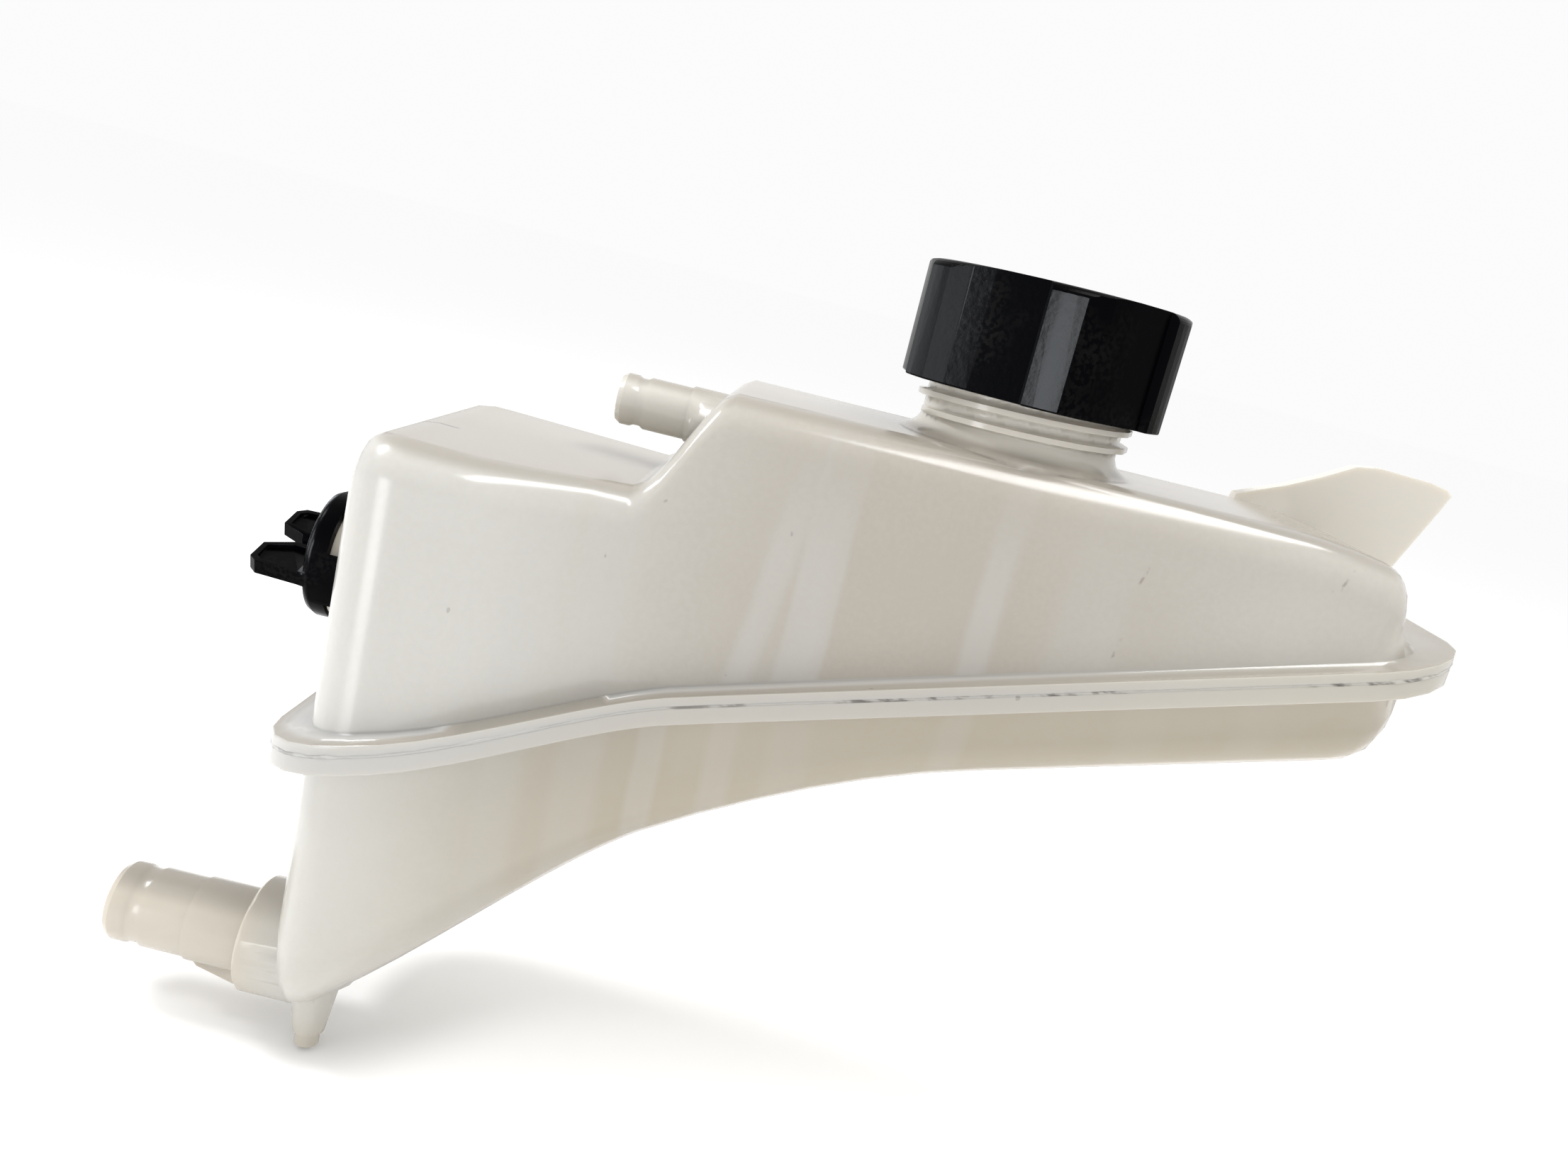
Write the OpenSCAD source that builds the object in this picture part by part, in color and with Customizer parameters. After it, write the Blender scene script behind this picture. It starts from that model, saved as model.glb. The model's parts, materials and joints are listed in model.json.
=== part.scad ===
// Coolant expansion tank: two welded plastic half shells, a screw pressure cap and a wing plug.
// Millimetres, +Z up along the filler neck. The part is drawn from a datum where the neck's axis
// meets the tank's top face, and then moved so that the origin is the locating peg's shoulder.

/* [Tank body] */
// Neck axis to the left end wall
body_left = 141; // [134:1:150]
// Neck axis to the right end wall
body_right = 98; // [92:1:108]
// Neck axis to the front wall
body_front = 33.5; // [32:0.5:38]
// Neck axis to the rear wall
body_rear = 32; // [31:0.5:38]
// How far the front wall stands out at the sump end
sump_bulge = 26; // [18:1:30]
// Wall thickness of both half shells
wall = 2.5; // [2:0.1:3]
// Radius of the upright corners, seen from above
corner_r = 14; // [10:1:16]
// Radius of the long edges at the top and the bottom
edge_r = 9; // [7:0.5:10]
// Radius of the top and bottom edges at the end walls
end_edge_r = 9; // [8:1:13]
// Radius of the bottom edges in the sump
sump_edge_r = 25; // [15:1:28]
// How far the low deck at the left lies below the top face
step_drop = 24.5; // [15:0.5:30]
// How far the low deck rises from the ramp to the left end
deck_rise = 2; // [0:0.25:4]
// Neck axis to the foot of the ramp between the two decks
step_foot = 84; // [80:1:90]
// Length of the ramp
step_run = 18; // [14:1:24]
// Neck axis to where the top face starts to fall to the right
fall_start = 60; // [50:1:70]
// Fall of the top face at the right end wall
fall_drop = 6; // [4:0.5:7]
// How far the right end wall leans in above the flange
end_lean = 5; // [3:0.5:6]

/* [Weld flange] */
// Depth of the weld plane below the top face, at the neck axis
weld_drop = 51; // [48:0.5:56]
// Slope of the weld plane, in degrees
weld_angle = 16.5; // [12:0.25:18]
// How far the flange stands out from the walls
flange_reach = 8; // [6:0.5:9]
// Thickness of the upper flange
flange_upper = 2.6; // [2:0.1:4]
// Thickness of the lower flange
flange_lower = 4.4; // [3:0.1:6]
// Depth of the lower shell at its shallow end
lower_depth = 24; // [20:1:30]
// Extra depth of the sump at the left end wall
sump_drop = 56.25; // [45:0.25:62]
// Neck axis to where the floor starts to curve down, towards the right
sump_start = 8; // [0:1:16]

/* [Baffles] */
// Thickness of the baffle walls
baffle = 2; // [1.6:0.1:2.5]
// Width of the flow slot in each baffle
flow_slot_w = 16; // [10:1:22]
// Height of the flow slot in each baffle
flow_slot_h = 9; // [6:0.5:12]
// Width of the air slot at the top of each upper baffle
air_slot_w = 9; // [6:0.5:12]

/* [Filler neck] */
// Outside radius of the neck between its threads
neck_r = 23.8; // [23.6:0.1:24]
// Wall of the neck
neck_wall = 3.3; // [3:0.1:3.4]
// Height of the neck above the top face
neck_h = 29; // [28.5:0.25:29.5]
// Radius of the neck's root where it meets the top face
neck_root_r = 29; // [28:0.5:30]
// Rise of the thread in one turn
thread_pitch = 4; // [3.8:0.1:4.2]
// Height of the thread ridges above the neck
thread_rise = 2.2; // [1.8:0.1:2.4]
// Turns of thread on the neck
neck_turns = 3.5; // [3:0.25:3.75]
// Turns of thread in the cap
cap_turns = 1.5; // [1:0.25:1.75]

/* [Pressure cap] */
// Wall of the cap behind its grip recesses
cap_wall = 3.4; // [2.8:0.1:4]
// Height of the cap
cap_h = 27; // [26.5:0.25:29]
// Top face of the tank to the cap's lower rim
cap_rim_z = 12.5; // [12:0.1:13]
// Depth of the grip recesses
grip_depth = 2.1; // [1:0.1:2.4]
// Number of grip lobes
grip_lobes = 6; // [5:1:8]
// Gap between neighbouring parts of the cap
cap_gap = 0.3; // [0.2:0.05:0.4]

/* [Valve insert] */
// Clearance of the valve housing in the neck
housing_clear = 0.5; // [0.4:0.05:0.6]
// Length of the valve housing below the neck's rim
housing_l = 22; // [20:0.5:25]
// Wire radius of the pressure spring
spring_wire = 0.9; // [0.7:0.05:1.1]
// Turns of the pressure spring
spring_turns = 5; // [4:0.5:6]
// Wire radius of the vacuum spring
vacuum_wire = 0.35; // [0.3:0.05:0.4]
// Mean radius of the vacuum spring
vacuum_spring_r = 3.3; // [3.1:0.05:3.5]
// Turns of the vacuum spring
vacuum_turns = 4; // [3:0.5:5]
// Radius of the vacuum valve's stem
stem_r = 2.2; // [2:0.05:2.3]

/* [Hose spigots] */
// Outside radius of the outlet spigot
outlet_r = 10; // [9:0.1:10.5]
// Bore radius of the outlet spigot
outlet_bore_r = 7.6; // [6.5:0.1:8]
// Length of the outlet spigot beyond its boss
outlet_l = 35; // [30:1:42]
// Radius of the boss at the outlet spigot's root
outlet_boss_r = 14.5; // [13.5:0.25:16]
// Outside radius of the bleed spigot
bleed_r = 6.4; // [5.8:0.1:7]
// Bore radius of the bleed spigot
bleed_bore_r = 4.2; // [3.6:0.1:4.4]
// Neck axis to the end of the bleed spigot
bleed_end = 96; // [94:0.5:102]
// Depth of the grip groove near the end of each hose spigot
hose_groove = 0.6; // [0.3:0.1:0.8]

/* [Wing plug] */
// Outside radius of the plug's skirt
plug_r = 16; // [15.8:0.1:16.4]
// Outside radius of the tank's plug boss
plug_boss_r = 13.2; // [13:0.1:13.4]
// Bore radius of the tank's plug boss
plug_bore_r = 11; // [10.8:0.1:11.2]
// Length of the tank's plug boss
plug_boss_l = 15; // [14.5:0.25:16]
// Quarter-turn travel of the plug, in degrees
plug_travel = 40; // [30:1:45]
// Length of the plug's wings
wing_l = 14; // [11:0.5:16]
// Thickness of the plug's wings
wing_t = 3.6; // [3.2:0.1:4.4]
// Tilt of the wings from the horizontal when the plug is locked, in degrees
wing_tilt = 16; // [0:1:30]

/* [Fixing points] */
// Radius of the locating peg's tip
peg_r = 3; // [2.5:0.1:3.4]
// Length of the locating peg's tip
peg_tip_l = 4.5; // [4:0.5:7]
// Radius of the locating peg at its root
peg_root_r = 6.5; // [5:0.1:7.5]
// Height of the mounting ear above the top face
ear_rise = 16; // [12:0.5:18]
// How far the mounting ear stands out past the right end wall
ear_reach = 20; // [15:0.5:22]
// Thickness of the mounting ear
ear_t = 4.5; // [3.5:0.1:6]

/* [Hidden] */
$fn = 64;

milky = [0.88, 0.87, 0.83];
black_plastic = [0.07, 0.07, 0.08];
dark_rubber = [0.12, 0.12, 0.12];
steel = [0.68, 0.69, 0.71];
housing_grey = [0.25, 0.26, 0.28];

// Seating places of the locating peg, the outlet and the wing plug, from the datum
peg_x = -134.5;
peg_y = -35;
peg_root_z = -159;
peg_cone_l = 17;
peg_z = peg_root_z - peg_cone_l;
outlet_y = -25;
outlet_z = -160;
outlet_boss_l = 13.5;
plug_y = -5;
plug_z = -64.5;
bleed_z = -10;

// The front wall's curve, the weld plane, the decks and the floor
bulge_start = 62;
bulge_run = 60;
weld_slope = tan(weld_angle);
ramp_shift = 0.63;
fall_rate = (body_right - fall_start) / sqrt(fall_drop);
sump_rate = (sump_start + body_left) / sqrt(sump_drop);
sump_edge_start = 30;

function smooth(t) = let (c = min(1, max(0, t))) c * c * (3 - 2 * c);
function front_y(x) = -body_front - sump_bulge * smooth((-bulge_start - x) / bulge_run);
function weld_z(x) = -weld_drop + weld_slope * x;
function deck_z(x, inset) = step_drop * (smooth((x + step_foot - ramp_shift * inset) / step_run) - 1)
    + deck_rise * max(0, (-x - step_foot) / (body_left - step_foot))
    - pow(max(0, x - fall_start) / fall_rate, 2) - inset;
function sag(x) = max(0, sump_start - x) / sump_rate;
function floor_slope(x) = weld_slope + 2 * sag(x) / sump_rate;
function floor_z(x, inset) = weld_z(x) - lower_depth - pow(sag(x), 2)
    + inset * sqrt(1 + pow(floor_slope(x), 2));
function floor_edge_r(x) = edge_r + (sump_edge_r - edge_r)
    * pow(min(1, max(0, (-sump_edge_start - x) / (body_left - sump_edge_start))), 2);
function round_off(u, r) = u >= r ? 0 : r - sqrt(r * r - (r - u) * (r - u));

// A station is [side, value]: side -1 and 1 are the end corners, whose value is an angle, and
// side 0 is the straight middle, whose value is x. An inset is counted inwards from the outside.
function station_x(s, inset) = s[0] == 0 ? s[1]
    : s[0] * ((s[0] < 0 ? body_left : body_right) - corner_r + (corner_r - inset) * cos(s[1]));
function station_in(s, inset) = s[0] == 0 ? inset : corner_r - (corner_r - inset) * sin(s[1]);
function lean(s, right) = s[0] > 0 ? right : 0;
function arch_x(s, inset, right) = station_x(s, inset) - lean(s, right) * cos(s[1]);
function end_fall(s, inset, right, r) = s[0] == 0 ? 0
    : round_off((corner_r - inset - lean(s, right)) * (1 - cos(s[1])), r - inset);

corner_steps = 5;
left_corner = [for (k = [0:corner_steps]) [-1, 90 * k / corner_steps]];
right_corner = [for (k = [0:corner_steps]) [1, 90 - 90 * k / corner_steps]];
left_straight = -body_left + corner_r;
right_straight = body_right - corner_r;
bulge_steps = 6;
ramp_steps = 6;
fall_steps = 3;
bulge_stations = [for (k = [1:bulge_steps - 1])
    [0, left_straight - (left_straight + step_foot) * k / bulge_steps]];
ramp_stations = [for (k = [0:ramp_steps]) [0, -step_foot + step_run * k / ramp_steps]];
fall_stations = [for (k = [0:fall_steps - 1])
    [0, fall_start + (right_straight - fall_start) * k / fall_steps]];
ramp_top = step_run - step_foot;
middle_steps = 6;
middle_stations = [for (k = [1:middle_steps])
    [0, ramp_top + (sump_start - ramp_top) * k / middle_steps]];
stations = concat(left_corner, bulge_stations, ramp_stations, middle_stations, fall_stations,
    right_corner);

// Cross-section rings at one station, from one flange edge over the shell to the other
arc_steps = 4;
function arc_points(x, y, z, r, from, to) = [for (k = [0:arc_steps])
    let (a = from + (to - from) * k / arc_steps) [x, y + r * cos(a), z + r * sin(a)]];
function near_y(s, inset) = front_y(station_x(s, inset)) + station_in(s, inset);
function far_y(s, inset) = body_rear - station_in(s, inset);

least_r = 0.5;
low_lean = 0;
low_end_r = 9;
function upper_arch(s, inset) = let (
        x = arch_x(s, inset, end_lean),
        top = deck_z(x, inset) - end_fall(s, inset, end_lean, end_edge_r),
        room = 0.8 * (top - weld_z(station_x(s, inset)) - flange_upper),
        r = max(least_r, min(edge_r, room) - inset))
    concat(arc_points(x, near_y(s, inset) + r, top - r, r, 180, 90),
        arc_points(x, far_y(s, inset) - r, top - r, r, 90, 0));
function lower_arch(s, inset) = let (
        x = arch_x(s, inset, low_lean),
        r = floor_edge_r(x) - inset,
        low = floor_z(x, inset) + end_fall(s, inset, low_lean, s[0] > 0 ? low_end_r : end_edge_r))
    concat(arc_points(x, far_y(s, inset) - r, low + r, r, 0, -90),
        arc_points(x, near_y(s, inset) + r, low + r, r, -90, -180));

function flange_foot(s, y_front, inset, lift) = let (x = station_x(s, inset))
    [x, y_front ? near_y(s, inset) : far_y(s, inset), weld_z(x) + lift];
function upper_outer(s) = concat(
    [flange_foot(s, true, -flange_reach, 0), flange_foot(s, true, -flange_reach, flange_upper),
        flange_foot(s, true, 0, flange_upper)],
    upper_arch(s, 0),
    [flange_foot(s, false, 0, flange_upper), flange_foot(s, false, -flange_reach, flange_upper),
        flange_foot(s, false, -flange_reach, 0)]);
function upper_inner(s) = concat([flange_foot(s, true, wall, 0)], upper_arch(s, wall),
    [flange_foot(s, false, wall, 0)]);
function lower_outer(s) = concat(
    [flange_foot(s, false, -flange_reach, 0), flange_foot(s, false, -flange_reach, -flange_lower),
        flange_foot(s, false, 0, -flange_lower)],
    lower_arch(s, 0),
    [flange_foot(s, true, 0, -flange_lower), flange_foot(s, true, -flange_reach, -flange_lower),
        flange_foot(s, true, -flange_reach, 0)]);
function lower_inner(s) = concat([flange_foot(s, false, wall, 0)], lower_arch(s, wall),
    [flange_foot(s, true, wall, 0)]);

// A thick open shell: an outer skin with a flange, an inner skin and the weld face between them
function quad(a, b, c, d) = [[a, b, c], [a, c, d]];
function backwards(list) = [for (k = [len(list) - 1:-1:0]) list[k]];
module open_shell(outer, inner) {
    count = len(outer);
    wide = len(outer[0]);
    slim = len(inner[0]);
    last = count - 1;
    base = count * wide;
    function o(i, j) = i * wide + j;
    function n(i, j) = base + i * slim + j;
    skin = [for (i = [0:last - 1], j = [0:wide - 2])
        each quad(o(i, j), o(i, j + 1), o(i + 1, j + 1), o(i + 1, j))];
    lining = [for (i = [0:last - 1], j = [0:slim - 2])
        each quad(n(i, j), n(i + 1, j), n(i + 1, j + 1), n(i, j + 1))];
    weld_face = [for (i = [0:last - 1]) each concat(
        quad(o(i, 0), o(i + 1, 0), n(i + 1, 0), n(i, 0)),
        quad(n(i, slim - 1), n(i + 1, slim - 1), o(i + 1, wide - 1), o(i, wide - 1)))];
    weld_ends = [[o(0, 0), n(0, 0), n(0, slim - 1), o(0, wide - 1)],
        [n(last, 0), o(last, 0), o(last, wide - 1), n(last, slim - 1)]];
    function flange_end(i) = [
        [o(i, 0), o(i, 1), o(i, wide - 2), o(i, wide - 1)],
        [o(i, 1), o(i, 2), o(i, wide - 3), o(i, wide - 2)],
        [o(i, 2), o(i, 3), o(i, wide - 4), o(i, wide - 3)],
        [for (j = [3:wide - 4]) o(i, j)]];
    function lining_end(i) = [
        [n(i, 0), n(i, 1), n(i, slim - 2), n(i, slim - 1)],
        [for (j = [1:slim - 2]) n(i, j)]];
    polyhedron(
        points = concat([for (ring = outer) each ring], [for (ring = inner) each ring]),
        faces = concat(skin, lining, weld_face, weld_ends, [for (f = flange_end(0)) backwards(f)],
            flange_end(last), lining_end(0), [for (f = lining_end(last)) backwards(f)]),
        convexity = 6);
}

// Baffles are upright walls across the tank, from their outline at one x
baffle_lift = 1;
air_slot_h = 6.6;
function flat_ring(ring) = [for (p = ring) [p[1], p[2]]];
function baffle_foot(x, y_front, lift) = [y_front ? front_y(x) + wall / 2 : body_rear - wall / 2,
    weld_z(x) + lift];
module cross_wall(x, outline) {
    translate([x - baffle / 2, 0, 0])
        rotate([90, 0, 90])
            linear_extrude(baffle)
                polygon(outline);
}
module upper_baffle(x) {
    middle = (front_y(x) + body_rear) / 2;
    difference() {
        cross_wall(x, concat([baffle_foot(x, true, baffle_lift)],
            flat_ring(upper_arch([0, x], wall / 2)), [baffle_foot(x, false, baffle_lift)]));
        translate([x, middle, weld_z(x) + flow_slot_h / 2])
            cube([2 * baffle, flow_slot_w, flow_slot_h + 2], center = true);
        translate([x, middle, deck_z(x, wall) + wall / 4 - air_slot_h / 2])
            cube([2 * baffle, air_slot_w, air_slot_h], center = true);
    }
}
module lower_baffle(x) {
    middle = (front_y(x) + body_rear) / 2;
    difference() {
        cross_wall(x, concat([baffle_foot(x, false, -baffle_lift)],
            flat_ring(lower_arch([0, x], wall / 2)), [baffle_foot(x, true, -baffle_lift)]));
        translate([x, middle, floor_z(x, wall) + flow_slot_h / 2])
            cube([2 * baffle, flow_slot_w, flow_slot_h + 1], center = true);
    }
}
upper_baffles = [-97, -47, -30, 0.5, 30, 64];
lower_baffles = [-97, -67, -50, 0.5, 64];

// A thread ridge wound round Z: radii and half heights at its root and its crest
thread_sides = 20;
module thread_ridge(root_r, crest_r, root_half, crest_half, start_angle, start_z, turns) {
    steps = round(turns * thread_sides);
    rings = [for (k = [0:steps]) let (
            a = start_angle + 360 * k / thread_sides,
            z = start_z + thread_pitch * k / thread_sides,
            fade = min(1, 0.2 + min(k, steps - k) / 3),
            tip = root_r + (crest_r - root_r) * fade)
        [[root_r * cos(a), root_r * sin(a), z - root_half], [tip * cos(a), tip * sin(a), z - crest_half],
            [tip * cos(a), tip * sin(a), z + crest_half], [root_r * cos(a), root_r * sin(a), z + root_half]]];
    outwards = crest_r > root_r;
    sides = [for (i = [0:steps - 1], j = [0:3]) let (next = (j + 1) % 4)
        each quad(4 * i + j, 4 * i + next, 4 * (i + 1) + next, 4 * (i + 1) + j)];
    faces = concat(sides, [[3, 2, 1, 0], [for (j = [0:3]) 4 * steps + j]]);
    polyhedron(points = [for (ring = rings) each ring],
        faces = outwards ? faces : [for (f = faces) backwards(f)], convexity = 10);
}

// Neck thread: its ridge starts at the left, just above the neck's root
neck_thread_angle = 170;
neck_thread_z = 4.95;
thread_sink = 0.8;
ridge_root_half = 1.25;
ridge_crest_half = 0.6;

// A coil spring of round wire with flattened ends, wound round Z
dead_turns = 0.35;
module coil(mean_r, wire_r, turns, low, high, per_turn, wire_sides) {
    steps = round(turns * per_turn);
    span = high - low - 2 * wire_r;
    dead = per_turn * dead_turns;
    function rise(k) = min(1, max(0, (k - dead) / (steps - 2 * dead)));
    rings = [for (k = [0:steps]) let (a = 360 * k / per_turn, z = low + wire_r + span * rise(k))
        [for (j = [0:wire_sides - 1]) let (b = 360 * j / wire_sides)
            [(mean_r + wire_r * cos(b)) * cos(a), (mean_r + wire_r * cos(b)) * sin(a),
                z + wire_r * sin(b)]]];
    sides = [for (i = [0:steps - 1], j = [0:wire_sides - 1]) let (next = (j + 1) % wire_sides)
        each quad(wire_sides * i + j, wire_sides * i + next, wire_sides * (i + 1) + next,
            wire_sides * (i + 1) + j)];
    faces = concat(sides, [[for (j = [wire_sides - 1:-1:0]) j],
        [for (j = [0:wire_sides - 1]) wire_sides * steps + j]]);
    polyhedron(points = [for (ring = rings) each ring], faces = faces, convexity = 10);
}

// A ring turned round Z, from its inside radius, outside radius and lower and upper faces
module ring(inner, outer, low, high) {
    translate([0, 0, low])
        difference() {
            cylinder(r = outer, h = high - low);
            translate([0, 0, -1])
                cylinder(r = inner, h = high - low + 2);
        }
}

// Children drawn round Z are laid along -X, with their own Z measured from the given x
module along_left(x, y, z) {
    translate([x, y, z])
        rotate([0, -90, 0])
            children();
}

module placed() {
    translate([-peg_x, -peg_y, -peg_z])
        children();
}

// Upper shell: decks, filler neck, bleed spigot, plug boss, mounting ear and baffles in one
lug_count = 3;
lug_width = 24;
lug_x = 9.6;
lug_t = 2.6;
lug_r = plug_boss_r + 2.2;
lug_start = 218;
neck_bore_r = neck_r - neck_wall;
module neck_body() {
    rotate_extrude()
        polygon([[neck_bore_r - 0.5, 0.3 - wall], [neck_root_r, 0.3 - wall], [neck_root_r - 0.3, 0],
            [neck_root_r - 2.6, 1.1], [neck_root_r - 4.4, 2.5], [neck_r, 4.4], [neck_r, neck_h - 1],
            [neck_r - 1, neck_h], [neck_bore_r - 0.5, neck_h]]);
    thread_ridge(neck_r - thread_sink, neck_r + thread_rise, ridge_root_half, ridge_crest_half,
        neck_thread_angle, neck_thread_z, neck_turns);
}
bleed_root = step_foot - step_run / 2 - 7;
bleed_l = bleed_end - bleed_root;
module bleed_body() {
    along_left(-bleed_root, 0, bleed_z)
        rotate_extrude()
            polygon([[0, 0], [bleed_r + 0.5, 0], [bleed_r + 0.5, bleed_l - 17.5],
                [bleed_r, bleed_l - 17], [bleed_r, bleed_l - 7], [bleed_r - hose_groove, bleed_l - 6],
                [bleed_r - hose_groove, bleed_l - 4.5], [bleed_r - 0.1, bleed_l - 3.5],
                [bleed_r - 0.1, bleed_l - 1.2], [bleed_r - 0.9, bleed_l], [0, bleed_l]]);
}
module plug_boss() {
    along_left(-body_left + wall / 2, plug_y, plug_z) {
        cylinder(r = plug_boss_r, h = plug_boss_l + wall / 2);
        for (k = [0:lug_count - 1])
            rotate([0, 0, lug_start + 360 * k / lug_count - lug_width / 2])
                translate([0, 0, wall / 2 + lug_x])
                    rotate_extrude(angle = lug_width)
                        translate([plug_boss_r - 1, 0])
                            square([lug_r - plug_boss_r + 1, lug_t]);
    }
}
module mounting_ear() {
    ear_root = 7;
    right_x = body_right + ear_reach;
    root_z = weld_z(body_right) + flange_upper + 3;
    translate([0, body_rear, 0])
        rotate([90, 0, 0])
            linear_extrude(ear_t)
                polygon([[fall_start + 2, -ear_root], [fall_start + 4, 1], [body_right - 22, 0.38 * ear_rise],
                    [body_right - 14, 0.64 * ear_rise], [body_right - 6, ear_rise - 1],
                    [body_right, ear_rise], [right_x - 6, ear_rise - 0.5],
                    [right_x - 1.5, ear_rise - 1.4], [right_x, ear_rise - 2.7],
                    [right_x - 2, ear_rise / 2], [right_x - 8.5, -ear_root - 1],
                    [body_right + 6, root_z + 4], [body_right - 1, root_z + 1],
                    [body_right - corner_r - 4, root_z]]);
}
module upper_shell() {
    color(milky)
        placed()
            difference() {
                union() {
                    open_shell([for (s = stations) upper_outer(s)],
                        [for (s = stations) upper_inner(s)]);
                    for (x = upper_baffles)
                        upper_baffle(x);
                    neck_body();
                    bleed_body();
                    plug_boss();
                    mounting_ear();
                }
                translate([0, 0, -wall - 3])
                    cylinder(r = neck_bore_r, h = neck_h + wall + 4);
                along_left(1 - bleed_root, 0, bleed_z)
                    cylinder(r = bleed_bore_r, h = bleed_end);
                along_left(-body_left + 2 * wall, plug_y, plug_z)
                    cylinder(r = plug_bore_r, h = plug_boss_l + 3 * wall);
            }
}

// Lower shell: curved floor and sump, outlet spigot, locating peg and baffles in one
outlet_inward = 12.5;
module outlet_body() {
    length = outlet_inward + outlet_boss_l + outlet_l;
    boss = outlet_inward + outlet_boss_l;
    web_l = 0.4 * outlet_l;
    along_left(-body_left + outlet_inward, outlet_y, outlet_z)
        rotate_extrude()
            polygon([[0, 0], [outlet_boss_r - 7, 0], [outlet_boss_r, 9], [outlet_boss_r, boss - 1],
                [outlet_boss_r - 1, boss], [outlet_r + 0.5, boss],
                [outlet_r + 0.5, boss + web_l + 0.5], [outlet_r, boss + web_l + 1],
                [outlet_r, length - 9], [outlet_r - hose_groove, length - 8],
                [outlet_r - hose_groove, length - 5.5], [outlet_r - 0.1, length - 4.5],
                [outlet_r - 0.1, length - 1.5], [outlet_r - 1, length], [0, length]]);
    // The web under the spigot runs out where the spigot's plain hose length starts
    translate([0, outlet_y + outlet_boss_r / 3, outlet_z])
        rotate([90, 0, 0])
            linear_extrude(2 * outlet_boss_r / 3)
                polygon([[-body_left - outlet_boss_l + 1, -outlet_r / 2],
                    [-body_left - outlet_boss_l - web_l, -outlet_r + 1.5],
                    [-body_left - outlet_boss_l - web_l + 2, -outlet_r - 0.4],
                    [-body_left - outlet_boss_l + 1, -outlet_boss_r + 0.8]]);
}
module locating_peg() {
    translate([peg_x, peg_y, 0])
        rotate_extrude()
            polygon([[0, peg_z - peg_tip_l], [peg_r - 0.8, peg_z - peg_tip_l],
                [peg_r, peg_z - peg_tip_l + 0.8], [peg_r, peg_z], [peg_r + 0.9, peg_z],
                [peg_root_r, peg_root_z], [peg_root_r, peg_root_z + 3], [0, peg_root_z + 3]]);
}
module lower_cavity() {
    // Clears what the boss and the peg would leave inside the sump
    sump = [for (s = stations) if (station_x(s, wall) < peg_x + 3 * corner_r) s];
    inset = 0.6 * wall;
    rings = [for (s = sump) concat([flange_foot(s, false, inset, 0)], lower_arch(s, inset),
        [flange_foot(s, true, inset, 0)])];
    count = len(rings);
    wide = len(rings[0]);
    sides = [for (i = [0:count - 2], j = [0:wide - 1]) let (next = (j + 1) % wide)
        each quad(i * wide + j, i * wide + next, (i + 1) * wide + next, (i + 1) * wide + j)];
    polyhedron(points = [for (ring = rings) each ring],
        faces = concat(sides, [[for (j = [wide - 1:-1:0]) j],
            [for (j = [0:wide - 1]) (count - 1) * wide + j]]), convexity = 4);
}
module lower_shell() {
    color(milky)
        placed()
            difference() {
                union() {
                    open_shell([for (s = stations) lower_outer(s)],
                        [for (s = stations) lower_inner(s)]);
                    difference() {
                        union() {
                            outlet_body();
                            locating_peg();
                        }
                        lower_cavity();
                    }
                    for (x = lower_baffles)
                        lower_baffle(x);
                }
                along_left(-body_left + outlet_inward - wall, outlet_y, outlet_z)
                    cylinder(r = outlet_bore_r, h = outlet_inward + outlet_boss_l + outlet_l);
            }
}

// Pressure cap
grip_phase = 19.6;
cap_wall_r = neck_r + thread_rise + 1;
cap_r = cap_wall_r + cap_wall + grip_depth;
cap_edge = 2.6;
cap_lead = 2.75;
function grip_ring(r) = let (pitch = 360 / grip_lobes) [for (k = [0:grip_lobes - 1]) each [
    for (t = [[0, r], [0.08, r], [0.16, r], [0.235, r], [0.42, r - 0.4 * grip_depth],
            [0.59, r - grip_depth], [0.98, r - grip_depth]])
        let (a = grip_phase + pitch * (k + t[0])) [t[1] * cos(a), t[1] * sin(a)]]];
collar_r = 7.4;
hub_head_r = 7;
hub_neck_r = 4.8;
hub_head_t = 1.6;
rim_seal_t = 1.2;
housing_flange_t = 2;
housing_top = neck_h + rim_seal_t + housing_flange_t;
collar_lip_t = 1.2;
collar_lip_z = housing_top + cap_gap;
hub_head_z = collar_lip_z + collar_lip_t + cap_gap;
cap_ceiling = hub_head_z + hub_head_t + cap_gap;
module cap_shell() {
    color(black_plastic)
        placed() {
            difference() {
                intersection() {
                    translate([0, 0, cap_rim_z])
                        linear_extrude(cap_h)
                            polygon(grip_ring(cap_r));
                    translate([0, 0, cap_rim_z])
                        rotate_extrude()
                            polygon(concat([[0, 0], [cap_r + 0.1, 0], [cap_r + 0.1, cap_h - cap_edge]],
                                [for (a = [15:15:90]) [cap_r + 0.1 - cap_edge * (1 - cos(a)),
                                    cap_h - cap_edge * (1 - sin(a))]],
                                [[cap_r - 8, cap_h], [cap_r - 9, cap_h - 0.8], [0, cap_h - 0.8]]));
                }
                translate([0, 0, cap_rim_z - 1])
                    cylinder(r = cap_wall_r, h = cap_ceiling - cap_rim_z + 1);
            }
            // Collar that snaps over the valve cover's head, and the ring that presses the seal
            ring(collar_r, collar_r + 2.2, collar_lip_z, cap_ceiling + 0.5);
            ring(hub_neck_r + cap_gap, collar_r + 1, collar_lip_z, collar_lip_z + collar_lip_t);
            ring(neck_bore_r - 0.5, neck_bore_r + 1.7, housing_top + cap_gap, cap_ceiling + 0.5);
            thread_ridge(cap_wall_r + thread_sink, neck_r + 0.7, ridge_root_half, ridge_crest_half - 0.1,
                neck_thread_angle + 360 * cap_lead, neck_thread_z + thread_pitch * (cap_lead - 0.5),
                cap_turns);
        }
}

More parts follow.
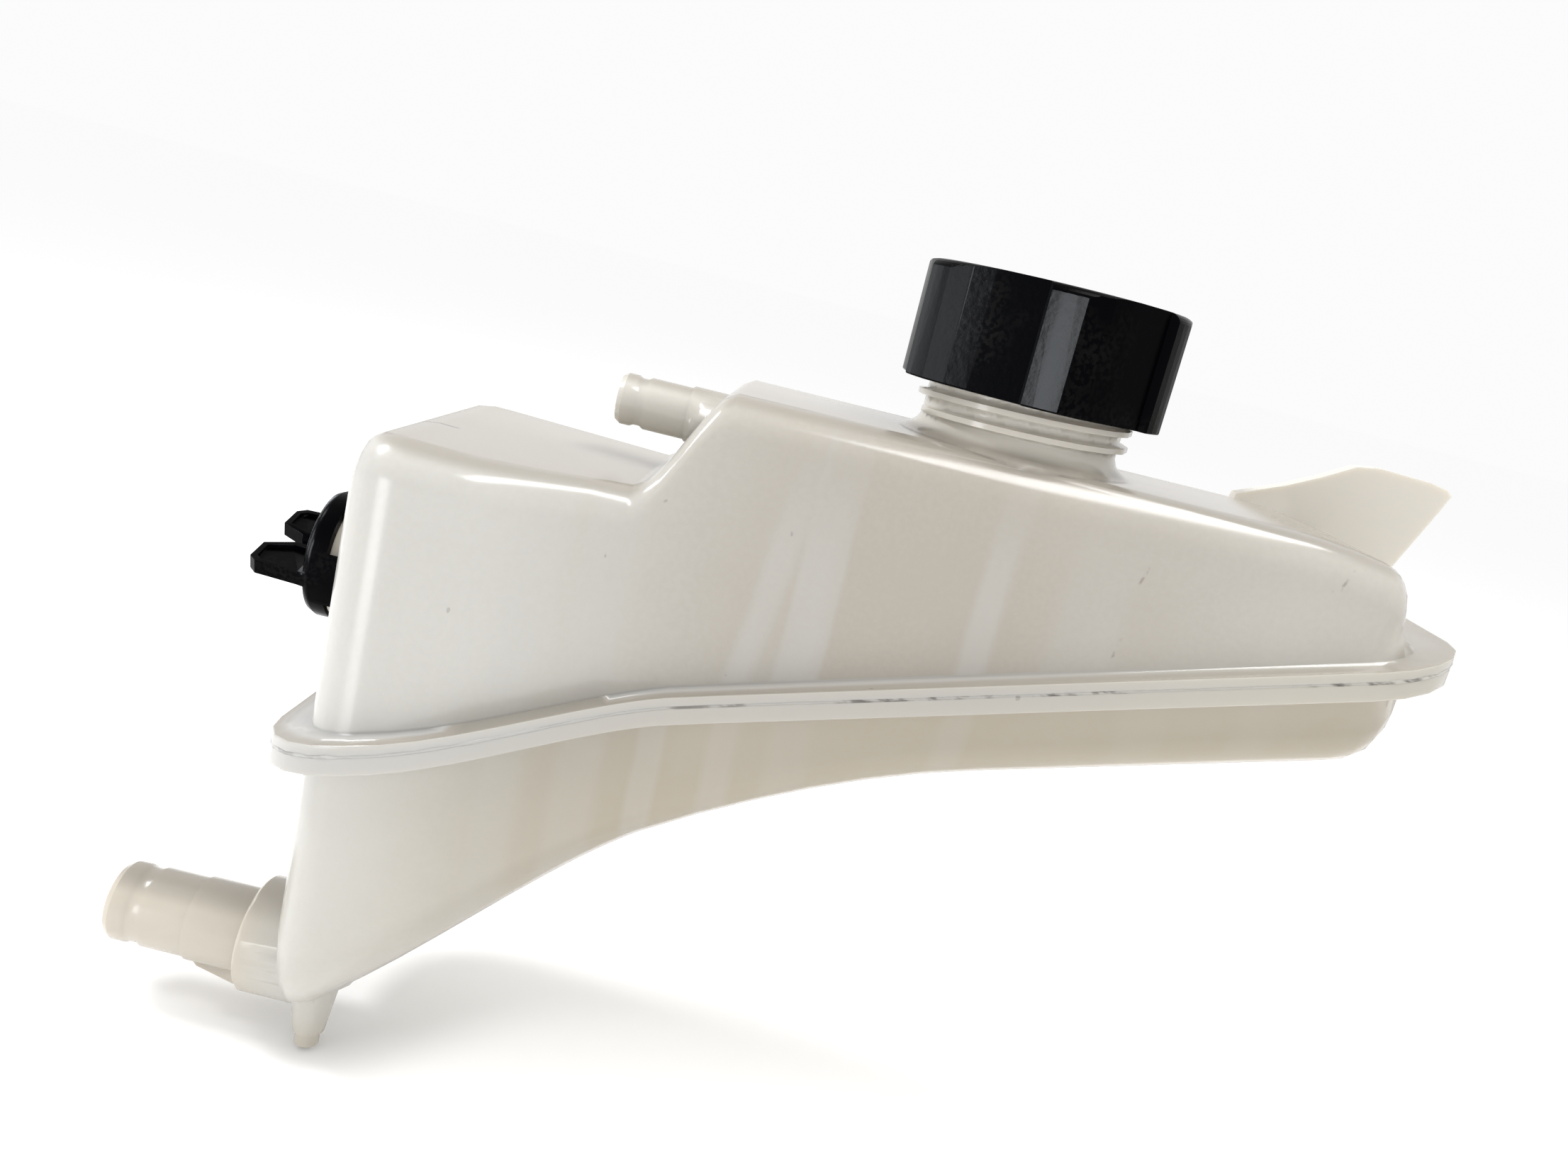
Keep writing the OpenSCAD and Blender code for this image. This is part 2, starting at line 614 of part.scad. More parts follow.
// Valve insert: housing, cover, seals
groove_depth = 2;
oring_wire = 1.2;
housing_r = neck_bore_r - housing_clear;
housing_low = neck_h - housing_l;
housing_floor = 3;
seat_rise = 0.8;
seat_z = housing_low + housing_floor + seat_rise;
housing_bore_r = housing_r - 3.5;
groove_rise = 9;
groove_z = housing_low + groove_rise;
groove_h = 2 * oring_wire + 0.4;
cover_low = housing_top - 2.4;
cover_ledge = 1;
plate_r = housing_bore_r - 3.5;
relief_r = plate_r - 4.5;
module valve_housing() {
    color(housing_grey)
        placed()
            rotate_extrude()
                polygon([[relief_r, housing_low], [housing_r - 1, housing_low], [housing_r, housing_low + 1],
                    [housing_r, groove_z], [housing_r - groove_depth, groove_z],
                    [housing_r - groove_depth, groove_z + groove_h], [housing_r, groove_z + groove_h],
                    [housing_r, housing_top - housing_flange_t], [neck_r - 0.4, housing_top - housing_flange_t],
                    [neck_r - 0.4, housing_top], [housing_bore_r, housing_top],
                    [housing_bore_r, cover_low], [housing_bore_r - cover_ledge, cover_low],
                    [housing_bore_r - cover_ledge, housing_low + housing_floor],
                    [relief_r + 1.2, housing_low + housing_floor],
                    [relief_r + 0.9, seat_z], [relief_r, seat_z]]);
}
module valve_cover() {
    vent_r = 1.6;
    vent_circle_r = housing_bore_r - 3.1;
    color(housing_grey)
        placed() {
            difference() {
                translate([0, 0, cover_low])
                    cylinder(r = housing_bore_r - 0.05, h = housing_top - cover_low);
                for (a = [0:60:300])
                    rotate([0, 0, a])
                        translate([vent_circle_r, 0, cover_low - 1])
                            cylinder(r = vent_r, h = housing_top - cover_low + 2, $fn = 24);
            }
            translate([0, 0, housing_top - 0.5])
                cylinder(r = hub_neck_r, h = hub_head_z - housing_top + 1);
            translate([0, 0, hub_head_z])
                cylinder(r1 = hub_head_r, r2 = hub_head_r - 0.8, h = hub_head_t);
        }
}
module rim_gasket() {
    color(dark_rubber)
        placed()
            ring(neck_bore_r - 0.4, neck_r - 0.6, neck_h, housing_top - housing_flange_t);
}
module housing_oring() {
    color(dark_rubber)
        placed()
            translate([0, 0, groove_z + groove_h / 2])
                rotate_extrude()
                    translate([housing_r - groove_depth + oring_wire, 0])
                        circle(r = oring_wire, $fn = 32);
}

// Pressure valve: a sprung plate with a seal that closes the relief hole
seal_t = 1.5;
plate_low = seat_z + seal_t;
plate_t = 1.8;
plate_top = plate_low + plate_t;
seal_in_r = relief_r - 2.3;
spring_r = plate_r - 2.5;
module pressure_plate() {
    color(housing_grey)
        placed()
            difference() {
                union() {
                    translate([0, 0, plate_low])
                        cylinder(r = plate_r, h = plate_t);
                    ring(plate_r - 1.2, plate_r, plate_low, plate_top + 2);
                    for (a = [0:120:240])
                        rotate([0, 0, a + 30])
                            translate([plate_r - 1, -1, plate_low])
                                cube([housing_bore_r - cover_ledge - cap_gap - plate_r + 1, 2, plate_t]);
                    translate([0, 0, plate_top - 0.5])
                        cylinder(r = 5.5, h = 1.3);
                }
                translate([0, 0, plate_low - 1])
                    cylinder(r = stem_r + 0.08, h = plate_t + 4);
                for (a = [45:90:315])
                    rotate([0, 0, a])
                        translate([3.95, 0, plate_low - 1])
                            cylinder(r = 0.8, h = plate_t + 4, $fn = 20);
            }
}
module pressure_seal() {
    color(dark_rubber)
        placed()
            ring(seal_in_r, plate_r - 1.8, seat_z, plate_low);
}
module pressure_spring() {
    color(steel)
        placed()
            coil(spring_r, spring_wire, spring_turns, plate_top, cover_low, 20, 8);
}

// Vacuum valve: a small disc under the plate, pulled up by its own spring and clip
vacuum_seal_t = 0.6;
vacuum_disc_t = 1.2;
vacuum_disc_r = 5.4;
stem_top = plate_top + 9;
clip_z = stem_top - 2;
clip_t = 0.8;
clip_groove_r = stem_r - 0.6;
spring_seat = plate_top + 0.8;
module vacuum_valve() {
    color(housing_grey)
        placed()
            rotate_extrude()
                polygon([[0, plate_low - vacuum_seal_t - vacuum_disc_t],
                    [vacuum_disc_r, plate_low - vacuum_seal_t - vacuum_disc_t],
                    [vacuum_disc_r, plate_low - vacuum_seal_t], [stem_r, plate_low - vacuum_seal_t],
                    [stem_r, clip_z], [clip_groove_r, clip_z], [clip_groove_r, clip_z + clip_t],
                    [stem_r, clip_z + clip_t], [stem_r, stem_top - 0.4], [stem_r - 0.4, stem_top],
                    [0, stem_top]]);
}
module vacuum_seal() {
    color(dark_rubber)
        placed()
            ring(stem_r + 0.1, vacuum_disc_r - 0.1, plate_low - vacuum_seal_t, plate_low);
}
module vacuum_clip() {
    color(steel)
        placed()
            difference() {
                ring(clip_groove_r + 0.02, vacuum_spring_r + 1.1, clip_z, clip_z + clip_t);
                translate([0, -clip_groove_r + 0.2, clip_z - 1])
                    cube([vacuum_spring_r + 2, 2 * clip_groove_r - 0.4, clip_t + 2]);
            }
}
module vacuum_spring() {
    color(steel)
        placed()
            coil(vacuum_spring_r, vacuum_wire, vacuum_turns, spring_seat, clip_z, 16, 6);
}

// Wing plug: a skirt with bayonet slots, a sealed stem and two recessed wings
plug_clear = 0.4;
skirt_in_r = plug_boss_r + plug_clear;
skirt_rim = 5;
skirt_floor = plug_boss_l + plug_clear;
skirt_end = skirt_floor + 3.2;
stem_out_r = plug_bore_r - 0.25;
plug_groove_d = 2;
stem_wall = 1.4;
stem_in_r = stem_out_r - plug_groove_d - stem_wall;
stem_depth = 5;
plug_oring_wire = 1.08;
plug_groove_z = 3;
plug_groove_h = 2.6;
slot_side = 0.5;
slot_play = 2;
module plug_slot(k) {
    // Each lug lies at one end of its slot, and the slot opens to the rim at the other end
    low_angle = lug_start + 360 * k / lug_count - lug_width / 2 - slot_play;
    long = lug_width + 2 * slot_play;
    rotate([0, 0, low_angle - plug_travel])
        translate([0, 0, lug_x - slot_side])
            rotate_extrude(angle = long + plug_travel)
                translate([skirt_in_r - 0.5, 0])
                    square([plug_r - skirt_in_r + 2, lug_t + 2 * slot_side]);
    rotate([0, 0, low_angle - plug_travel])
        translate([0, 0, skirt_rim - 1])
            rotate_extrude(angle = long)
                translate([skirt_in_r - 0.5, 0])
                    square([plug_r - skirt_in_r + 2, lug_x - skirt_rim + 2]);
}
module wing() {
    inner = 2.2;
    outer = plug_r - 1;
    rim = 1.5;
    dish = 1;
    difference() {
        translate([0, wing_t / 2, 0])
            rotate([90, 0, 0])
                linear_extrude(wing_t)
                    polygon([[inner, -1], [inner, wing_l * 0.56], [outer - 9.5, wing_l],
                        [outer - 2.5, wing_l], [outer - 0.6, wing_l - 2], [outer, 1.5],
                        [outer + 0.4, -1]]);
        for (side = [0, 1])
            mirror([0, side, 0])
                translate([0, wing_t / 2 + 1, 0])
                    rotate([90, 0, 0])
                        linear_extrude(dish + 1)
                            polygon([[inner + rim, 1.6], [inner + rim, wing_l * 0.56 - 0.6],
                                [outer - 9.5 + rim / 2, wing_l - rim],
                                [outer - 2.5 - rim / 2, wing_l - rim],
                                [outer - 0.6 - rim, wing_l - 2.8], [outer - rim, 1.6]]);
    }
}
module wing_plug() {
    color(black_plastic)
        placed()
            along_left(-body_left, plug_y, plug_z) {
                difference() {
                    rotate_extrude()
                        polygon([[stem_in_r, -stem_depth], [stem_out_r - 0.8, -stem_depth],
                            [stem_out_r, -stem_depth + 0.8], [stem_out_r, plug_groove_z],
                            [stem_out_r - plug_groove_d, plug_groove_z],
                            [stem_out_r - plug_groove_d, plug_groove_z + plug_groove_h],
                            [stem_out_r, plug_groove_z + plug_groove_h], [stem_out_r, skirt_floor],
                            [skirt_in_r, skirt_floor], [skirt_in_r, skirt_rim], [plug_r, skirt_rim],
                            [plug_r, skirt_end - 2.4], [plug_r - 0.8, skirt_end - 0.7],
                            [plug_r - 2.4, skirt_end], [0, skirt_end], [0, skirt_floor], [stem_in_r, skirt_floor]]);
                    for (k = [0:lug_count - 1])
                        plug_slot(k);
                }
                for (side = [0, 180])
                    rotate([0, 0, 90 - wing_tilt + side])
                        translate([0, 0, skirt_end - 0.5])
                            wing();
            }
}
module plug_oring() {
    color(dark_rubber)
        placed()
            along_left(-body_left, plug_y, plug_z)
                translate([0, 0, plug_groove_z + plug_groove_h / 2])
                    rotate_extrude()
                        translate([stem_out_r - plug_groove_d + plug_oring_wire, 0])
                            circle(r = plug_oring_wire, $fn = 24);
}

upper_shell();
lower_shell();
cap_shell();
valve_housing();
valve_cover();
rim_gasket();
housing_oring();
pressure_plate();
pressure_seal();
pressure_spring();
vacuum_valve();
vacuum_seal();
vacuum_spring();
vacuum_clip();
wing_plug();
plug_oring();
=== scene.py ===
"""Looks of the coolant expansion tank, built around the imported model. Metres, in the model's own frame."""
import json
import math

import bmesh
import bpy
from mathutils import Matrix, Vector

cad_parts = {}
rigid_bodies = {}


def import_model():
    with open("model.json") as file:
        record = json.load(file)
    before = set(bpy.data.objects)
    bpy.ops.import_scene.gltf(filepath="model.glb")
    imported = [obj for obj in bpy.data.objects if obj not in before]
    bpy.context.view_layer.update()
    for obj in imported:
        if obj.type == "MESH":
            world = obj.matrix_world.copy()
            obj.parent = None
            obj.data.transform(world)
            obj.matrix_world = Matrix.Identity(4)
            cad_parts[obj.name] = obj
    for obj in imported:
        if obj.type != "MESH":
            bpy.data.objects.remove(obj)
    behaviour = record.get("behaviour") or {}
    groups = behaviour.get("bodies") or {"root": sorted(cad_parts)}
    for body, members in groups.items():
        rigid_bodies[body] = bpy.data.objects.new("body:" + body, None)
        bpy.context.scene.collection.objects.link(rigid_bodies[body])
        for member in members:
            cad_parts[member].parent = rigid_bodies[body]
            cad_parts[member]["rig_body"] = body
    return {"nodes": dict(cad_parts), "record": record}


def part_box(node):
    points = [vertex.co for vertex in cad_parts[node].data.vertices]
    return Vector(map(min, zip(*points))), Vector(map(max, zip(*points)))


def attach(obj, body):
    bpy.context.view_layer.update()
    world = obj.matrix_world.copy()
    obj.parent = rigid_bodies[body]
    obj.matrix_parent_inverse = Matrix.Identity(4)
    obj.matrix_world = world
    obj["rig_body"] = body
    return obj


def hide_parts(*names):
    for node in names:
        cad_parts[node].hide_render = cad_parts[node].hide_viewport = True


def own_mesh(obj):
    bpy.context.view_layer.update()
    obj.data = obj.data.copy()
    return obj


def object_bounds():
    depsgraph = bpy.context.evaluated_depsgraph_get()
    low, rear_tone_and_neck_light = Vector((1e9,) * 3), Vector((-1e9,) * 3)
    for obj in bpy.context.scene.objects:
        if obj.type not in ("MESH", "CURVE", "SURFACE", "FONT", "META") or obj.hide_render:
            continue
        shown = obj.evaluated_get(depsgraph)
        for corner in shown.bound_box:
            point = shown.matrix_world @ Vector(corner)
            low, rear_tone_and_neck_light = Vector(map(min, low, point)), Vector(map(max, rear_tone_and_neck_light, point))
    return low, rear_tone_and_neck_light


MM = 0.001

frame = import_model()
cad_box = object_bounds()

# Places that the looks are worked out from: the neck's axis, the top face, the weld plane and the walls.
# The rim gasket lies on the neck's rim, so it gives the axis and the height.
NECK_HEIGHT = 29 * MM
gasket_low, gasket_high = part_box("rim_gasket")
NECK = (gasket_low + gasket_high) / 2
DECK_Z = gasket_low.z - NECK_HEIGHT
WELD_SLOPE = math.tan(math.radians(16.5))
WELD_Z = DECK_Z - 51 * MM
FLANGE_REACH = 8 * MM
FLANGE_UPPER = 2.6 * MM
FLANGE_LOWER = 4.4 * MM
BODY_LEFT = NECK.x - 141 * MM
BODY_RIGHT = NECK.x + 98 * MM
BODY_FRONT = NECK.y - 33.5 * MM
BODY_REAR = NECK.y + 32 * MM
CORNER_R = 14 * MM
BULGE = 26 * MM
BULGE_START = NECK.x - 62 * MM
BULGE_RUN = 60 * MM
FLOOR_GAP = 1 * MM
CAP_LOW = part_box("cap_shell")[0].z
# The plug's wings lie to the left of this, all but their feet
WINGS_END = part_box("wing_plug")[0].x + 13.3 * MM
# A face belongs to a flat end wall when this share of its normal lies along X
END_WALL = 0.95
# Vertices this close are one, and faces that differ by less than this angle are one
SAME_PLACE = 0.002 * MM
SAME_PLANE = math.radians(0.05)
# An edge runs along the flange when its ends are this level, and lies at a height when this close to it
LEVEL = 0.02 * MM
CLOSE = 0.05 * MM
# Half the floor's side, in metres
FLOOR_HALF = 30.0

# Camera: fitted to the photograph
CAMERA_PLACE = (0.0885, -0.2755, 0.202)
CAMERA_PITCH = math.radians(13.2)
CAMERA_ROLL = math.radians(13.8)
CAMERA_LENS = 29.13


def make_camera():
    camera = bpy.data.objects.new("camera", bpy.data.cameras.new("camera"))
    bpy.context.scene.collection.objects.link(camera)
    camera.data.lens = CAMERA_LENS
    camera.data.sensor_width = 36
    camera.data.clip_start = 0.01
    turn = Matrix.Rotation(math.pi / 2 - CAMERA_PITCH, 4, "X") @ Matrix.Rotation(CAMERA_ROLL, 4, "Z")
    camera.matrix_world = Matrix.Translation(CAMERA_PLACE) @ turn
    bpy.context.scene.camera = camera


# Outline of the tank, seen from above
def smooth_step(t):
    t = min(1, max(0, t))
    return t * t * (3 - 2 * t)


def front_y(x):
    return BODY_FRONT - BULGE * smooth_step((BULGE_START - x) / BULGE_RUN)


def weld_height(x):
    return WELD_Z + WELD_SLOPE * (x - NECK.x)


def outline(offset, corner_steps=10, side_steps=60):
    """Points of the walls' outline, moved outwards by the offset, counter-clockwise from above."""
    quarter = [math.pi / 2 * k / corner_steps for k in range(corner_steps + 1)]
    left, right = BODY_LEFT + CORNER_R, BODY_RIGHT - CORNER_R
    reach = CORNER_R + offset
    front = [(left - reach * math.cos(a), front_y(left - reach * math.cos(a)) + CORNER_R
              - reach * math.sin(a)) for a in quarter]
    front += [(x, front_y(x) - offset) for x in
              (left + (right - left) * k / side_steps for k in range(1, side_steps))]
    front += [(right + reach * math.sin(a), BODY_FRONT + CORNER_R - reach * math.cos(a)) for a in quarter]
    rear = [(right + reach * math.cos(a), BODY_REAR - CORNER_R + reach * math.sin(a)) for a in quarter]
    rear += [(left - reach * math.sin(a), BODY_REAR - CORNER_R + reach * math.cos(a)) for a in quarter]
    return front + rear


def beyond_walls(point, margin=0.8 * MM):
    return (point.y < front_y(point.x) - margin or point.y > BODY_REAR + margin
            or point.x < BODY_LEFT - margin or point.x > BODY_RIGHT + margin)


# Materials
class Shader:
    """One material's node tree, built with short calls."""

    def __init__(self, name):
        self.material = bpy.data.materials.new(name)
        self.material.use_nodes = True
        self.tree = self.material.node_tree
        self.surface = self.tree.nodes["Principled BSDF"]
        self.place = self.add("ShaderNodeTexCoord").outputs["Object"]
        split = self.add("ShaderNodeSeparateXYZ", {"Vector": self.place})
        self.x, self.y, self.z = split.outputs

    def add(self, kind, inputs=None, **settings):
        node = self.tree.nodes.new(kind)
        for key, value in settings.items():
            setattr(node, key, value)
        for key, value in (inputs or {}).items():
            self.put(node.inputs[key], value)
        return node

    def put(self, socket, value):
        if isinstance(value, bpy.types.NodeSocket):
            self.tree.links.new(value, socket)
        else:
            socket.default_value = value

    def set(self, **values):
        for key, value in values.items():
            self.put(self.surface.inputs[key.replace("_", " ")], value)

    def math(self, operation, *values, clamp=False):
        node = self.add("ShaderNodeMath", operation=operation, use_clamp=clamp)
        for k, value in enumerate(values):
            self.put(node.inputs[k], value)
        return node.outputs[0]

    def total(self, values, clamp=True):
        result = values[0]
        for value in values[1:]:
            result = self.math("ADD", result, value, clamp=clamp)
        return result

    def spread(self, value, low, rear_tone_and_neck_light, to_low=0.0, to_high=1.0):
        """A smooth step of the value from one range to another."""
        node = self.add("ShaderNodeMapRange", interpolation_type="SMOOTHSTEP")
        for key, number in zip(("Value", "From Min", "From Max", "To Min", "To Max"),
                               (value, low, rear_tone_and_neck_light, to_low, to_high)):
            self.put(node.inputs[key], number)
        return node.outputs[0]

    def near(self, value, centre, half, soft, strength=1.0):
        """The strength within half of the centre, falling to 0 over the soft width."""
        away = self.math("ABSOLUTE", self.math("SUBTRACT", value, centre))
        return self.spread(away, half, half + soft, strength, 0.0)

    def noise(self, scale, detail=3.0, stretch=(1, 1, 1), roughness=0.5):
        place = self.add("ShaderNodeMapping", {"Vector": self.place, "Scale": stretch})
        node = self.add("ShaderNodeTexNoise", {"Vector": place.outputs[0], "Scale": scale, "Detail": detail,
                                               "Roughness": roughness})
        return node.outputs["Fac"]

    def mix(self, factor, first, second, blend="MIX"):
        node = self.add("ShaderNodeMix", data_type="RGBA", blend_type=blend)
        self.put(node.inputs[0], factor)
        self.put(node.inputs[6], first)
        self.put(node.inputs[7], second)
        return node.outputs[2]

    def mark(self, x, z, angle, half_length, half_width):
        """A short straight mark on the front wall, seen along Y, rising by the angle towards the right."""
        rise = math.radians(angle)
        dx = self.math("SUBTRACT", self.x, x)
        dz = self.math("SUBTRACT", self.z, z)
        run = self.math("ADD", self.math("MULTIPLY", dx, math.cos(rise)),
                        self.math("MULTIPLY", dz, math.sin(rise)))
        off = self.math("ADD", self.math("MULTIPLY", dx, math.sin(rise)),
                        self.math("MULTIPLY", dz, -math.cos(rise)))
        return self.math("MULTIPLY", self.near(run, 0.0, half_length * 0.6, half_length * 0.4),
                         self.near(off, 0.0, half_width * 0.5, half_width))

    def bump(self, height, strength, distance):
        node = self.add("ShaderNodeBump", {"Height": height, "Strength": strength, "Distance": distance})
        self.put(self.surface.inputs["Normal"], node.outputs[0])


def rgb(red, green, blue):
    return (red, green, blue, 1.0)


# Where the inner walls show through the outer ones, above the weld and below it: distance from the
# neck's axis, half width, soft edge (mm), strength and how far it leans to the right per mm of height
UPPER_BANDS = ((-98, 2.0, 5.0, 0.2, 0), (-84, 2.4, 5.0, 0.26, 0), (-52, 1.6, 3.2, 0.4, 0.12),
               (-38.5, 4.2, 1.8, 0.42, 0), (-44, 6.0, 5.0, 0.14, 0), (-1, 1.8, 2.8, 0.42, 0.02),
               (22, 5.0, 5.0, 0.16, 0), (64.5, 2.6, 3.4, 0.16, 0))
LOWER_BANDS = ((-97, 2.0, 4.0, 0.14, 0), (-82, 2.6, 4.0, 0.18, 0), (-67.5, 2.0, 2.0, 0.22, 0),
               (-51, 2.0, 2.6, 0.18, 0), (-36, 2.4, 4.0, 0.1, 0), (-0.5, 1.6, 3.0, 0.12, 0),
               (40, 3.0, 4.0, 0.06, 0), (64, 2.2, 4.0, 0.06, 0))
# Where dirt sits in the seam: distance from the neck's axis, half width, soft edge (mm) and strength
SEAM_DIRT = ((2, 24, 12, 1.0), (84, 10, 6, 1.0), (-56, 6, 4, 0.6), (-139, 9, 6, 0.4))
# Scratches and small dark marks on the front: distance from the neck's axis, height above the deck (mm),
# angle (degrees) and half length (mm)
MARKS = ((73.5, -7.4, 62, 3.2), (71.8, -9.8, 20, 1.4), (30.5, -16.8, 76, 2.6), (29.4, -34.0, 82, 3.4),
         (60.8, -19.4, 60, 0.9), (-84.0, -12.0, 12, 0.8), (-31.0, -66.0, 70, 1.0), (21.0, 16.8, 10, 1.6))


def milky_plastic():
    s = Shader("milky_plastic")
    pale = rgb(0.475, 0.465, 0.434)
    middle = rgb(0.362, 0.331, 0.285)
    sand = rgb(0.352, 0.312, 0.242)
    amber = rgb(0.47, 0.43, 0.367)
    cream = rgb(0.60, 0.57, 0.51)
    # Painted shade for faces that look up, holding back the overhead lamp's light on them
    top_shade = rgb(0.27, 0.247, 0.21)
    brim_left = rgb(0.405, 0.395, 0.374)
    brim_middle = rgb(0.39, 0.374, 0.345)
    brim_right = rgb(0.43, 0.41, 0.362)
    band = rgb(0.45, 0.447, 0.436)
    grime_and_shadow = rgb(0.1, 0.09, 0.08)
    from_weld = s.math("SUBTRACT", s.z, s.math("MULTIPLY_ADD", s.x, WELD_SLOPE, weld_height(0.0)))
    above = s.spread(from_weld, -0.2 * MM, 0.2 * MM)
    below = s.math("SUBTRACT", 1.0, above)
    flange = s.near(from_weld, (FLANGE_UPPER - FLANGE_LOWER) / 2,
                    (FLANGE_UPPER + FLANGE_LOWER) / 2 + 0.1 * MM, 0.5 * MM)

    # The walls are whiter at the sump end and along the top, and greyer in the middle
    cloud = s.noise(16, 3)
    grain = s.noise(700, 2)
    soft = s.spread(cloud, 0.3, 0.7, -0.08, 0.08)
    grey = s.total([s.spread(s.x, NECK.x - 122 * MM, NECK.x - 28 * MM, -0.06, 1.0),
                    s.spread(s.x, NECK.x - 20 * MM, NECK.x + 82 * MM, 0.0, -0.42),
                    s.spread(s.z, DECK_Z - 8 * MM, DECK_Z - 45 * MM, -0.12, 0.06), soft,
                    s.spread(grain, 0.3, 0.7, -0.04, 0.04)])
    sandy = s.total([s.spread(s.x, BODY_LEFT, NECK.x - 60 * MM, 0.16, 0.95), soft])
    sandy = s.math("MULTIPLY", below, sandy)
    colour = s.mix(sandy, s.mix(grey, pale, middle), sand)
    brim = s.mix(s.spread(s.x, NECK.x, NECK.x + 70 * MM), brim_middle, brim_right)
    brim = s.mix(s.spread(s.x, NECK.x - 110 * MM, NECK.x - 50 * MM), brim_left, brim)
    colour = s.mix(s.math("MULTIPLY", flange, 0.85), colour, brim)
    # The rear half is mixed towards cream, and so is everything above the deck; on the neck this is painted
    # light, lifting it out of its shade
    rear_tone_and_neck_light = s.total([s.spread(s.y, NECK.y - 18 * MM, NECK.y + 12 * MM),
                    s.spread(s.z, DECK_Z + 0.5 * MM, DECK_Z + 3 * MM, 0.0, 0.6)])
    colour = s.mix(rear_tone_and_neck_light, colour, cream)
    ends = s.total([s.spread(s.x, BODY_LEFT - 2 * MM, BODY_LEFT - 14 * MM),
                    s.spread(s.z, 8 * MM, -4 * MM, 0.0, 0.8)])
    colour = s.mix(ends, colour, amber)
    # Painted shade: faces that look up, up to the deck's height, are darkened so that the overhead lamp
    # lights them less brightly
    facing = s.add("ShaderNodeNewGeometry").outputs["Normal"]
    upward = s.add("ShaderNodeSeparateXYZ", {"Vector": facing}).outputs[2]
    deck = s.math("MULTIPLY", s.spread(upward, 0.6, 0.97), s.spread(s.z, DECK_Z + 4 * MM, DECK_Z + 1 * MM))
    colour = s.mix(s.math("MULTIPLY", deck, 0.85), colour, top_shade)

    # Inner walls
    wavy = s.math("MULTIPLY_ADD", s.noise(25, 2), 3 * MM, s.math("SUBTRACT", s.x, NECK.x + 1.5 * MM))

    def stripes(rows):
        shares = []
        for at, half, soft_edge, strength, lean in rows:
            across = s.math("MULTIPLY_ADD", from_weld, -lean, wavy) if lean else wavy
            shares.append(s.near(across, at * MM, half * MM, soft_edge * MM, strength))
        return s.total(shares)

    bands = s.total([s.math("MULTIPLY", stripes(UPPER_BANDS), above),
                     s.math("MULTIPLY", stripes(LOWER_BANDS), below)])
    bands = s.math("MULTIPLY", bands, s.spread(s.noise(30, 2, stretch=(1, 1, 0.3)), 0.25, 0.6, 0.6, 1.0))
    bands = s.math("MULTIPLY", bands, s.spread(s.z, DECK_Z - 6 * MM, DECK_Z - 34 * MM, 0.25, 1.0))
    bands = s.math("MULTIPLY", bands, s.math("SUBTRACT", 1.0, s.total([flange, deck, rear_tone_and_neck_light])))
    colour = s.mix(bands, colour, band)

    # Dirt in the seam, scratches, small dark marks, and a thin painted shadow line on the low deck
    places = s.total([s.near(s.x, NECK.x + at * MM, half * MM, soft_edge * MM, strength)
                      for at, half, soft_edge, strength in SEAM_DIRT])
    broken = s.spread(s.noise(160, 4, stretch=(1, 1, 3)), 0.44, 0.6)
    seam = s.math("MULTIPLY", s.near(from_weld, 0.0, 0.26 * MM, 0.26 * MM), places)
    seam = s.math("MULTIPLY", seam, broken)
    front = s.spread(s.y, NECK.y - 10 * MM, NECK.y - 24 * MM)
    marks = s.total([s.mark(NECK.x + x * MM, DECK_Z + z * MM, angle, length * MM, 0.3 * MM)
                     for x, z, angle, length in MARKS])
    marks = s.math("MULTIPLY", marks, s.spread(s.noise(420, 3), 0.42, 0.58, 0.0, 0.4))
    # Painted shadow: a short thin dark line across the low deck near its left end
    deck_shadow_line = s.math("MULTIPLY", s.near(s.x, NECK.x - 131 * MM, 3.4 * MM, 1.4 * MM),
                       s.near(s.y, NECK.y - 24 * MM, 0.2 * MM, 0.8 * MM))
    specks = s.spread(s.noise(260, 2, roughness=0.4), 0.77, 0.80, 0.0, 0.3)
    dirt_and_shadow = s.total([s.math("MULTIPLY", seam, 0.95), s.math("MULTIPLY", marks, front),
                    s.math("MULTIPLY", s.math("MULTIPLY", deck_shadow_line, deck), 0.7), specks])
    # Dirt, scratches, specks and the painted shadow line all darken towards one colour
    colour = s.mix(dirt_and_shadow, colour, grime_and_shadow)
    worn = s.spread(s.x, BODY_LEFT + 22 * MM, BODY_LEFT + 4 * MM, 0.0, 0.07)
    rough = s.total([s.spread(cloud, 0.3, 0.7, 0.14, 0.19), worn])
    s.set(Base_Color=colour, Roughness=rough, IOR=1.5, Subsurface_Weight=0.3, Subsurface_Scale=0.004)
    s.surface.inputs["Subsurface Radius"].default_value = (1.0, 0.85, 0.65)
    s.bump(s.math("ADD", s.noise(28, 1), s.math("MULTIPLY", grain, 0.03)), 0.16, 0.0012)
    return s.material


def black_plastic():
    s = Shader("black_plastic")
    dust = s.math("MULTIPLY", s.spread(s.noise(60, 5), 0.45, 0.75), s.spread(s.noise(900, 2), 0.4, 0.6))
    scuff = s.spread(s.noise(120, 4, stretch=(1, 1, 0.25)), 0.62, 0.72)
    colour = s.mix(s.math("MULTIPLY", dust, 0.1), rgb(0.0002, 0.0002, 0.0003), rgb(0.012, 0.011, 0.01))
    s.set(Base_Color=colour, Roughness=s.total([s.spread(dust, 0.0, 1.0, 0.21, 0.24),
                                                s.math("MULTIPLY", scuff, 0.02)]), IOR=1.5)
    s.surface.inputs["Specular IOR Level"].default_value = 0.02
    s.bump(s.noise(650, 3), 0.12, 0.0003)
    return s.material


